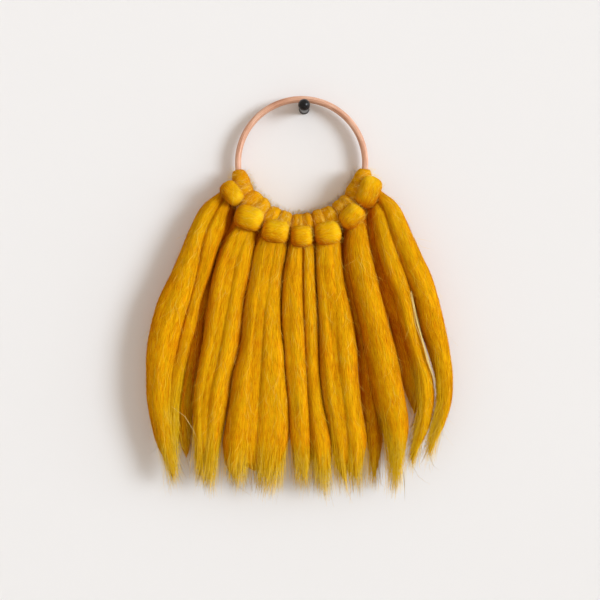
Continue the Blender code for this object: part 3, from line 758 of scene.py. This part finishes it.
# %% Node helpers
def shader_group(name, inputs, outputs):
    """An empty shader node group. Inputs and outputs are (name, socket type, default) rows."""
    group = bpy.data.node_groups.new(name, "ShaderNodeTree")
    for direction, rows in (("INPUT", inputs), ("OUTPUT", outputs)):
        for title, kind, value in rows:
            socket = group.interface.new_socket(name=title, in_out=direction, socket_type="NodeSocket" + kind)
            if value is not None:
                socket.default_value = value
    return group, group.nodes.new("NodeGroupInput"), group.nodes.new("NodeGroupOutput")


def tone(red, green, blue):
    """A colour as it looks on a screen, 0 to 255, turned into the linear value that Blender wants."""
    shown = np.array((red, green, blue)) / 255
    linear = np.where(shown < 0.04045, shown / 12.92, ((shown + 0.055) / 1.055) ** 2.4)
    return (*linear, 1.0)


def socket(sockets, name):
    """The socket with this name that the node shows. Mix and Math nodes hide others of the same name."""
    if isinstance(name, int):
        return sockets[name]
    return next(each for each in sockets if each.name == name and each.enabled)


def node(tree, kind, inputs=None, **settings):
    """A node with its properties and its inputs set."""
    made = tree.nodes.new("ShaderNode" + kind)
    for key, value in settings.items():
        setattr(made, key, value)
    for key, value in (inputs or {}).items():
        socket(made.inputs, key).default_value = value
    return made


def ranged(tree, low, high, to_low=0.0, to_high=1.0):
    """A node that turns low into to_low and high into to_high, and never goes past either."""
    limits = {"From Min": low, "From Max": high, "To Min": to_low, "To Max": to_high}
    return node(tree, "MapRange", inputs=limits)


def wire(tree, *rows):
    """Links. Each row is a node, its output, the next node and its input."""
    for source, output, target, entry in rows:
        tree.links.new(socket(source.outputs, output), socket(target.inputs, entry))


print("node helpers: groups, tones, nodes and wires")

# %% Tone group: dye and painted shade
# Columns: a tone's place on the scale of shades, its name, and its colour. On the wool, the low end
# of the scale carries the painted shade of creases and hidden wool as well as the darkest dye, and the
# pale end carries painted light on thin hairs and ends as well as pale stray fibres. The beech has
# tones of its own at the same places.
TONES = (
    (-1.0, "Inside", (140, 46, 0)), (0.0, "Deep", (206, 113, 0)), (0.5, "Middle", (236, 168, 3)),
    (1.0, "Light", (244, 196, 22)), (2.0, "Pale", (255, 230, 150)),
)
dye_and_painted_shade, dye_in, dye_out = shader_group(
    "dye_and_painted_shade",
    [(name, "Color", tone(*colour)) for _, name, colour in TONES]
    + [("Amount", "Float", 0.5), ("Patch Scale", "Float", 30.0)],
    [("Color", "Color", None)],
)
dye_place = node(dye_and_painted_shade, "TexCoord")
patches = node(dye_and_painted_shade, "TexNoise", inputs={"Detail": 5.0, "Roughness": 0.75})
spread = ranged(dye_and_painted_shade, 0.3, 0.7, -0.2, 0.2)
total = node(dye_and_painted_shade, "Math", operation="ADD")
wire(
    dye_and_painted_shade,
    (dye_place, "Object", patches, "Vector"),
    (dye_in, "Patch Scale", patches, "Scale"),
    (patches, "Fac", spread, "Value"),
    (spread, "Result", total, 0),
    (dye_in, "Amount", total, 1),
)
last, output = dye_in, "Inside"
for (low, _, _), (high, name, _) in zip(TONES, TONES[1:]):
    step = ranged(dye_and_painted_shade, low, high)
    mixed = node(dye_and_painted_shade, "Mix", data_type="RGBA")
    wire(
        dye_and_painted_shade,
        (total, "Value", step, "Value"),
        (step, "Result", mixed, "Factor"),
        (last, output, mixed, "A"),
        (dye_in, name, mixed, "B"),
    )
    last, output = mixed, "Result"
wire(dye_and_painted_shade, (last, output, dye_out, "Color"))
print("dye group:", len(dye_and_painted_shade.nodes), "nodes")

# %% Streaks group
streaks, streaks_in, streaks_out = shader_group(
    "streaks",
    [("Across", "Float", 1.0), ("Along", "Float", 0.05), ("Waver", "Float", 0.6)],
    [("Value", "Float", None)],
)
flow_map = node(streaks, "UVMap", uv_map="flow")
apart = node(streaks, "SeparateXYZ")
across = node(streaks, "Math", operation="MULTIPLY")
along = node(streaks, "Math", operation="MULTIPLY")
wander = node(streaks, "TexNoise", inputs={"Scale": 0.03, "Detail": 1.0})
wander_size = node(streaks, "Math", operation="MULTIPLY")
shifted = node(streaks, "Math", operation="ADD")
together = node(streaks, "CombineXYZ")
lines = node(streaks, "TexNoise", inputs={"Scale": 1.0, "Detail": 4.0, "Roughness": 0.65})
wire(
    streaks,
    (flow_map, "UV", apart, "Vector"),
    (flow_map, "UV", wander, "Vector"),
    (apart, "X", across, 0),
    (streaks_in, "Across", across, 1),
    (apart, "Y", along, 0),
    (streaks_in, "Along", along, 1),
    (wander, "Fac", wander_size, 0),
    (streaks_in, "Waver", wander_size, 1),
    (across, "Value", shifted, 0),
    (wander_size, "Value", shifted, 1),
    (shifted, "Value", together, "X"),
    (along, "Value", together, "Y"),
    (together, "Vector", lines, "Vector"),
    (lines, "Fac", streaks_out, "Value"),
)
print("streaks group:", len(streaks.nodes), "nodes")


# %% Material helpers
def new_material(name, **values):
    """A material with a Principled shader, its sockets set by name."""
    material = bpy.data.materials.new(name)
    material.use_nodes = True
    shader = material.node_tree.nodes["Principled BSDF"]
    for title, value in values.items():
        shader.inputs[title.replace("_", " ")].default_value = value
    return material, material.node_tree, shader


def placed(tree, group, **values):
    """A node group set into a material, with its own values."""
    made = node(tree, "Group", node_tree=group)
    for title, value in values.items():
        made.inputs[title.replace("_", " ")].default_value = value
    return made


print("material helpers: Principled materials and placed groups")

# %% [markdown]
# Between dense fibres, light bounces many times and loses more of its yellow each time, which turns
# the creases a deep red-brown. A renderer follows only a few bounces, so the wool helps it: light
# that bounced off something a few millimetres away meets a deeper colour. Light from farther off,
# and what the camera sees, meet the plain dye.

# %% Wool materials
WOOL = {
    "Roughness": 0.9, "Specular_IOR_Level": 0.05,
    "Sheen_Weight": 0.2, "Sheen_Roughness": 0.4, "Sheen_Tint": tone(255, 190, 10),
}
AGAIN, AGAIN_SHARE = tone(196, 80, 0), 0.6
AGAIN_NEAR, AGAIN_FAR = 0.003, 0.012  # in metres: the full share up to one, and none beyond the other


def deeper_again(tree, source, shader):
    """Light that has just bounced off wool close by meets a deeper, redder colour."""
    path = node(tree, "LightPath")
    close_by = ranged(tree, AGAIN_FAR, AGAIN_NEAR, 0.0, AGAIN_SHARE)
    share = node(tree, "Math", operation="MULTIPLY")
    mix = node(tree, "Mix", data_type="RGBA", inputs={"B": AGAIN})
    wire(
        tree,
        (path, "Ray Length", close_by, "Value"),
        (path, "Is Diffuse Ray", share, 0),
        (close_by, "Result", share, 1),
        (share, "Value", mix, "Factor"),
        (source, "Color", mix, "A"),
        (mix, "Result", shader, "Base Color"),
    )


wool_strands, tree, shader = new_material("wool strands", **WOOL)
# The shade attribute holds each strand's random dye shade and the painted shade and light of its form.
strand_shade = node(tree, "Attribute", attribute_name="strand")
strand_dye_and_painted_shade = placed(tree, dye_and_painted_shade)
wire(tree, (strand_shade, "Fac", strand_dye_and_painted_shade, "Amount"))
deeper_again(tree, strand_dye_and_painted_shade, shader)

wool_core, tree, shader = new_material(
    "wool core", Subsurface_Weight=0.15, Subsurface_Radius=(1.0, 1.0, 1.0), Subsurface_Scale=0.001, **WOOL
)
# The shade attribute holds the painted shade and light of each core's form; the streaks add fibre marks to
# it.
core_shade = node(tree, "Attribute", attribute_name="strand")
core_streaks = placed(tree, streaks, Across=2.0, Along=0.1)
core_amount = node(tree, "Math", operation="ADD")
core_dye_and_painted_shade = placed(tree, dye_and_painted_shade)
core_bump = node(tree, "Bump", inputs={"Strength": 0.8, "Distance": 0.0006})
streak_range = ranged(tree, 0.3, 0.7, -0.2, 0.8)
wire(
    tree,
    (core_streaks, "Value", streak_range, "Value"),
    (streak_range, "Result", core_amount, 0),
    (core_shade, "Fac", core_amount, 1),
    (core_amount, "Value", core_dye_and_painted_shade, "Amount"),
    (core_streaks, "Value", core_bump, "Height"),
    (core_bump, "Normal", shader, "Normal"),
)
deeper_again(tree, core_dye_and_painted_shade, shader)
print("wool materials:", wool_strands.name, "and", wool_core.name)

# %% [markdown]
# ## The wool's two layers
#
# A roving is one soft core and one coat of strands. The core gives the volume and the deep shade
# between the locks, and the strands give the fleece. One thick mesh with a bump could stand in for
# both, but its edge would be hard, where the real edge is a haze of fibres. A lock's strands are
# counted from its size: so many for each square millimetre of it.

# %% How the wool is laid
# A coat's columns: a strand's part of the form's length, its lift, and its waver in turns and in mm.
HIDDEN_COAT = ((0.14, 0.34), (0.0, 0.7), (0.006, 0.25))
LOCK_COAT = ((0.03, 0.12), (0.0, 0.6), (0.012, 0.4))
TURN_COAT = ((0.08, 0.2), (0.0, 0.4), (0.006, 0.15))
BAR_COAT = ((0.2, 0.6), (0.0, 0.4), (0.008, 0.15))
# Points of a core's grid along its form and round it.
HIDDEN_GRID, BODY_GRID, LOCK_GRID, TURN_GRID, BAR_GRID = (40, 20), (60, 28), (80, 28), (30, 20), (26, 28)
# A loose hair's columns: its length and its lift.
LOCK_HAIR, TURN_HAIR, BAR_HAIR = ((6, 22), (0.8, 3.2)), ((3, 10), (0.8, 4.5)), ((3, 9), (0.6, 2.4))
SPAN_ROWS = 9
OUTERMOST = ("roving_1", "roving_7")


def span_rows(name, kinds, wider, long, above=0.0):
    """Rows of one lock as wide as several of a roving's locks together."""
    every = [np.array(LOCKS[name][kind], float) for kind in kinds]
    top = max(rows[0, 0] for rows in every) + above
    rows = []
    for height in np.linspace(top, top - long, SPAN_ROWS):
        left = min(np.interp(-height, -each[:, 0], each[:, 1]) for each in every)
        right = max(np.interp(-height, -each[:, 0], each[:, 2]) for each in every)
        rows.append((height, left - (name != OUTERMOST[0]) * wider, right + (name != OUTERMOST[1]) * wider))
    return rows


def shaded_grid(at, size, cast):
    """A form's core, as a grid with the shade that each of its points gets, painted shade and light included.
    """
    along, around = size
    u, v = np.meshgrid(np.linspace(0, 1, along), np.arange(around) / around, indexing="ij")
    return grid_of(at, along, around), cast(u, v).ravel()


print("helpers for cores: wide locks from several, and shaded grids")

# %% [markdown]
# Each roving is made from the back to the front. First comes a hidden lock, which fills what would
# be a gap between the hanging ones. Where two locks of one roving have grown together, a body joins
# them. Then come the hanging locks themselves, the turns over the ring, the bar, and the hairs that
# have come away. Each function here gives the cores and the strands of one of these.

# %% The hidden lock and the body between two locks
HIDDEN_STRANDS, BODY_STRANDS, BODY_FRONT_SHARE = 260, 600, 0.85
UNDER_WIDER, UNDER_LONG = 4.0, 140.0  # how much wider it is than the others, and its length
UNDER_ABOVE, UNDER_HALF = 16.0, 10.5  # how far above them it starts, and half its depth
# Where two locks have grown together: half the depth of the body that joins them.
JOINING = {"roving_2": 9.0, "roving_3": 9.5, "roving_5": 8.5}
JOINING_LONG, JOINING_ENDS = 224.0, 110
JOINING_FROM = (0.7, 0.92)  # the part of the body's length where strands leave it


def hidden_wool(name):
    """The lock behind a roving's others, a little wider than they are together, with the painted shade of
    hidden wool.
    """
    above = 0.0 if name in OUTERMOST else UNDER_ABOVE
    under = lock_form(span_rows(name, LOCKS[name], UNDER_WIDER, UNDER_LONG, above), True, UNDER_HALF)
    core = shaded_grid(under, HIDDEN_GRID, hidden_lock)
    return [core], [laid(under, spread_round(HIDDEN_STRANDS), HIDDEN_COAT, hidden_lock)]


def joining_wool(name):
    """The body between two locks of one roving, with strands that run out between their ends."""
    kinds = ("outer", "inner")
    body = lock_form(span_rows(name, kinds, 0.0, JOINING_LONG), False, JOINING[name])
    core = shaded_grid(body, BODY_GRID, front_lock)
    coat = laid(body, spread_round(BODY_STRANDS, BODY_FRONT_SHARE), LOCK_COAT, front_lock)
    tips = np.array([tip for kind in kinds for tip in TIPS[name, kind]])
    between = [(tips[:, 0].mean(), FRONT_Y, tips[:, 1].mean())]
    return [core], [coat, ending(body, JOINING_ENDS, JOINING_FROM, between)]


print(len(JOINING), "rovings have locks that have grown together")

# %% A hanging lock
LAID_ON_LOCK, LOOSE_ON_LOCK = 0.106, 0.022  # strands for each square millimetre
LOOSE_FRONT_SHARE = 0.5
LOCK_GIRTH = 2.6  # the way round a lock, as a multiple of its width
TUCKED_SHARE = 0.6  # a tucked lock is half hidden and needs fewer strands
ENDING_EACH = 250  # strands for each pointed end
ENDING_FROM = (0.55, 0.86)  # the part of a lock's length where they leave it


def hanging_lock(name, kind):
    """One lock below the hitch, its soft edge, and its pointed ends."""
    rows, tucked = LOCKS[name][kind], kind == "tucked"
    lock = lock_form(rows, tucked, TUCKED_HALF if tucked else None)
    # a tucked lock gets the painted shade of hidden wool, and the others the painted shade of their creases
    cast = hidden_lock if tucked else front_lock
    area = LOCK_GIRTH * np.mean([right - left for _, left, right in rows]) * (rows[0][0] - rows[-1][0])
    ends = [(x, TUCKED_Y if tucked else FRONT_Y, z) for x, z in TIPS[name, kind]]
    count = int(area * LAID_ON_LOCK * (TUCKED_SHARE if tucked else 1.0))
    return [shaded_grid(lock, LOCK_GRID, cast)], [
        laid(lock, spread_round(count), LOCK_COAT, cast),
        loose(lock, spread_round(int(area * LOOSE_ON_LOCK), LOOSE_FRONT_SHARE), *LOCK_HAIR),
        ending(lock, ENDING_EACH * len(ends), ENDING_FROM, ends),
    ]


print("about", int(1000 * LAID_ON_LOCK), "strands lie on 10 square centimetres of a lock")

# %% A hitch
TURN_STRANDS, TURN_HAIRS = 170, 260
BAR_STRANDS, BAR_HAIRS = 280, 140
TURN_ENDS = (0.03, 0.97)  # strands keep this far from a turn's two edges


def turn_wool(row):
    """One turn over the ring, with the fuzz that stands up from it."""
    turn = turn_form(*row)
    return [shaded_grid(turn, TURN_GRID, turn_shade)], [
        laid(turn, rng.uniform(*TURN_ENDS, TURN_STRANDS), TURN_COAT, turn_shade),
        loose(turn, rng.uniform(*TURN_ENDS, TURN_HAIRS), *TURN_HAIR, PALE_FUZZ),
    ]


def bar_wool(row):
    """The bar across a hitch."""
    bar = bar_form(*row)
    return [shaded_grid(bar, BAR_GRID, bar_shade)], [
        laid(bar, rng.random(BAR_STRANDS), BAR_COAT, bar_shade),
        loose(bar, rng.random(BAR_HAIRS), *BAR_HAIR),
    ]


print("a turn has", TURN_STRANDS, "strands and a bar", BAR_STRANDS)

# %% Hairs that have come away, and pale hairs along a slot
# Columns: the points of their line, how many, how far apart, their width and their shade.
STRAYS = {
    "roving_2": (
        ((-126.5, -37.5, -288.5), (-113.1, -39.0, -298.1), (-104.5, -38.0, -312.4), (-102.6, -37.0, -318.2)),
        2, (0.2, 0.2, 0.2), (0.11, 0.16), 2.0,
    ),
    # Pale hairs along the slot between roving_7's locks: partly pale fuzz, and partly painted light for the
    # bright wall seen through the slot.
    "roving_7": (
        ((102.2, -31.5, -180.4), (108.2, -31.0, -208.5), (117.8, -31.0, -244.4), (125.6, -29.0, -266.5)),
        16, (0.5, 0.8, 1.5), (0.2, 0.35), 1.9,
    ),
}
print("stray hairs on", " and ".join(STRAYS))

# %% Build the rovings
strand_total = core_total = 0
for name in LOCKS:
    parts = [hidden_wool(name)]
    if name in JOINING:
        parts.append(joining_wool(name))
    parts += [hanging_lock(name, kind) for kind in LOCKS[name]]
    parts += [turn_wool(row) for row in TURNS[name]]
    parts.append(bar_wool(BARS[name]))
    if name in STRAYS:
        parts.append(([], [strays(*STRAYS[name])]))
    core = mesh_object(name + "_core", *joined([grid for grids, _ in parts for grid in grids]))
    fibres, triangles = strand_mesh(name + "_fibres", [coat for _, coats in parts for coat in coats])
    core.data.materials.append(wool_core)
    fibres.data.materials.append(wool_strands)
    core.data.calc_loop_triangles()
    strand_total += triangles
    core_total += len(core.data.loop_triangles)
    for piece in (core, fibres):
        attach(piece, "root")
        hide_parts(name)
    print(name, "core faces", len(core.data.polygons), "strand triangles", triangles)
print("triangles in all: strands", strand_total, "cores", core_total)

# %% [markdown]
# ## Beech ring
#
# The inner ring of an embroidery hoop is a strip of beech, steamed, bent and glued, so its grain runs
# all the way round. It is left bare, with the pinkish warmth of steamed beech. A bevelled curve would
# give the ring as well, but without a `flow` map in millimetres for its grain. So it is a grid again:
# `u` runs round the ring, and `v` runs round its section. The seam lies at the bottom, under the wool.

# %% Beech material
beech, tree, shader = new_material("beech", Roughness=0.5, Coat_Weight=0.08, Coat_Roughness=0.35)
grain = placed(tree, streaks, Across=1.6, Along=0.035, Waver=1.5)
flecks = placed(tree, streaks, Across=4.0, Along=0.25, Waver=0.3)
beech_tone = placed(
    tree, dye_and_painted_shade, Inside=tone(130, 80, 56), Deep=tone(162, 102, 74), Middle=tone(214, 158, 126),
    Light=tone(237, 194, 166), Pale=tone(230, 190, 165), Patch_Scale=25.0,
)
grain_range = ranged(tree, 0.3, 0.68)
fleck_range = ranged(tree, 0.62, 0.75, 1.0, 0.72)
flecked = node(tree, "Mix", data_type="RGBA", blend_type="MULTIPLY", inputs={"Factor": 1.0})
rub = ranged(tree, 0.0, 1.0, 0.42, 0.6)
beech_bump = node(tree, "Bump", inputs={"Strength": 0.25, "Distance": 0.0002})
wire(
    tree,
    (grain, "Value", grain_range, "Value"),
    (grain_range, "Result", beech_tone, "Amount"),
    (flecks, "Value", fleck_range, "Value"),
    (beech_tone, "Color", flecked, "A"),
    (fleck_range, "Result", flecked, "B"),
    (flecked, "Result", shader, "Base Color"),
    (grain, "Value", rub, "Value"),
    (rub, "Result", shader, "Roughness"),
    (grain, "Value", beech_bump, "Height"),
    (beech_bump, "Normal", shader, "Normal"),
)
print("beech material:", len(tree.nodes), "nodes")


# %% Build the ring
HOOP_SQUARE = 2.7  # the power of its section, between an oval and a rectangle
RING_GRID = (180, 32)  # points round the ring and round its section


def ring_form(u, v):
    """The ring's surface. Its section is a worn rectangle, nearly an oval."""
    half_thick, half_deep = HOOP_THICK / 2, HOOP_DEEP / 2
    turn = 2 * math.pi * v
    across, along = np.cos(turn), np.sin(turn)
    thick, deep = np.abs(across / half_thick) ** HOOP_SQUARE, np.abs(along / half_deep) ** HOOP_SQUARE
    length = (thick + deep) ** (1 / HOOP_SQUARE)
    radius = HOOP_OUTER - half_thick + across / length
    angle = 2 * math.pi * u
    return np.stack([
        HOOP_MIDDLE[0] + radius * np.sin(angle),
        HOOP_MIDDLE[1] + along / length,
        HOOP_MIDDLE[2] - radius * np.cos(angle),
    ], axis=-1)


ring = mesh_object("hoop_ring", *grid_of(ring_form, *RING_GRID, closed=True))
ring.data.materials.append(beech)
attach(ring, "root")
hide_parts("hoop")
print("ring faces", len(ring.data.polygons))

# %% [markdown]
# ## Pin
#
# A round-headed push pin holds the ring off the wall: a glossy black ball, a narrow neck that the
# ring rests on, and a collar against the wall. A turned part like this is a profile spun round an
# axis. Blender's Screw modifier can do that, but the grid that made the other pieces does it as well,
# with `u` along the profile and `v` round it. The lacquer has a little dust on it, so its shine is
# uneven.

# %% Build the pin
# Columns: y and radius, from the wall to the tip of the ball.
PIN_PROFILE = (
    (0.0, 0.0), (0.0, 4.7), (-0.5, 5.2), (-1.8, 5.2), (-2.6, 4.6), (-20.9, 4.6), (-21.6, 5.05),
    (-23.0, 5.62), (-24.6, 5.8), (-26.4, 5.5), (-28.2, 4.45), (-29.5, 2.9), (-30.2, 1.3), (-30.4, 0.0),
)
PIN_GRID = (80, 40)  # points along the profile and round it
black, tree, shader = new_material("black lacquer", Specular_IOR_Level=0.25)
dust = node(tree, "TexNoise", inputs={"Scale": 900.0, "Detail": 3.0})
pin_place = node(tree, "TexCoord")
dust_tone = node(tree, "Mix", data_type="RGBA", inputs={"A": tone(10, 10, 11), "B": tone(34, 32, 32)})
dust_rub = ranged(tree, 0.0, 1.0, 0.18, 0.32)
wire(
    tree,
    (pin_place, "Object", dust, "Vector"),
    (dust, "Fac", dust_tone, "Factor"),
    (dust_tone, "Result", shader, "Base Color"),
    (dust, "Fac", dust_rub, "Value"),
    (dust_rub, "Result", shader, "Roughness"),
)


def pin_form(u, v):
    """The pin's surface: u along its profile, from the wall to the tip of the ball, and v round it."""
    profile = np.array(PIN_PROFILE)
    run = np.concatenate([[0], np.cumsum(np.linalg.norm(np.diff(profile, axis=0), axis=1))])
    run /= run[-1]
    y, radius = np.interp(u, run, profile[:, 0]), np.interp(u, run, profile[:, 1])
    angle = 2 * math.pi * v
    return np.stack([radius * np.cos(angle), y, radius * np.sin(angle)], axis=-1)


pin = mesh_object("pin", *grid_of(pin_form, *PIN_GRID))
pin.data.materials.append(black)
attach(pin, "root")
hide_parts("wall_pin")
print("pin faces", len(pin.data.polygons))

# %% [markdown]
# ## Wall, floor and light
#
# The piece is shown on a plain pale wall over a pale floor. A key light comes from the right, a
# little above and in front, so the ridges of the wool read and the shadow falls to the left, and a
# wider one beside it softens the shadow's far edge. Sun lamps with a wide angle light the whole wall
# evenly, where an area lamp would fade across it. The lamps are a little cool and the sky a little
# warm, so the shadow on the wall isn't grey. The wall can't be seen from behind, and it lets most of
# the soft light through, so the back of the piece can be looked at and is lit too.

# %% Wall and floor
WALL_PASSES = 0.8  # the share of the soft light that comes through the wall
WALL_Y, FLOOR_Z, STAGE_REACH = 0.6, -1300.0, 9000.0  # the wall is just behind the pin's flat back


def plain_plane(name, points, colour, one_sided=False):
    """A painted rectangle. A one-sided one is clear from behind, and lets lamps and soft light by."""
    plane = mesh_object(name, np.array(points, float), [(0, 1, 2, 3)])
    material, tree, shader = new_material(name + " paint", Base_Color=colour, Roughness=0.9)
    if one_sided:
        geometry, path = node(tree, "NewGeometry"), node(tree, "LightPath")
        soft_light = node(tree, "Math", operation="MULTIPLY", inputs={1: WALL_PASSES})
        light = node(tree, "Math", operation="MAXIMUM")
        either = node(tree, "Math", operation="MAXIMUM")
        clear, mix = node(tree, "BsdfTransparent"), node(tree, "MixShader")
        wire(
            tree,
            (path, "Is Diffuse Ray", soft_light, 0),
            (path, "Is Shadow Ray", light, 0),
            (soft_light, "Value", light, 1),
            (geometry, "Backfacing", either, 0),
            (light, "Value", either, 1),
            (either, "Value", mix, "Fac"),
            (shader, "BSDF", mix, 1),
            (clear, "BSDF", mix, 2),
            (mix, "Shader", tree.nodes["Material Output"], "Surface"),
        )
    plane.data.materials.append(material)
    return plane


around = [(x * STAGE_REACH, y * STAGE_REACH) for x, y in ((-1, -1), (1, -1), (1, 1), (-1, 1))]
wall_corners = [(x, WALL_Y, max(z, FLOOR_Z)) for x, z in around]
floor_corners = [(x, y, FLOOR_Z) for x, y in around]
plain_plane("wall", wall_corners, tone(236, 234, 232), one_sided=True)
plain_plane("floor", floor_corners, tone(228, 225, 220))
print("the floor is", -FLOOR_Z, "mm below the pin")

# %% Lights
SKY_STRENGTH, SKY_COLOUR = 0.62, (1.0, 0.905, 0.82)
LAMP_COLOUR = (0.83, 0.91, 1.0)
# Columns: direction towards the light, strength, and its angle across in degrees.
LIGHTS = {
    "key": ((0.78, -0.61, 0.1), 1.95, 22.0),
    "wide": ((0.87, -0.48, 0.12), 1.35, 50.0),
}
for name, (towards, strength, spread) in LIGHTS.items():
    lamp = linked(name, bpy.data.lights.new(name, "SUN"))
    lamp.data.energy = strength
    lamp.data.angle = math.radians(spread)
    lamp.data.color = LAMP_COLOUR
    lamp.rotation_euler = Vector(towards).to_track_quat("Z", "Y").to_euler()
world = bpy.data.worlds.new("sky")
world.use_nodes = True
background = world.node_tree.nodes["Background"]
background.inputs["Color"].default_value = (*SKY_COLOUR, 1.0)
background.inputs["Strength"].default_value = SKY_STRENGTH
bpy.context.scene.world = world
bpy.context.scene.view_settings.view_transform = "Standard"
print("lights:", ", ".join(LIGHTS))
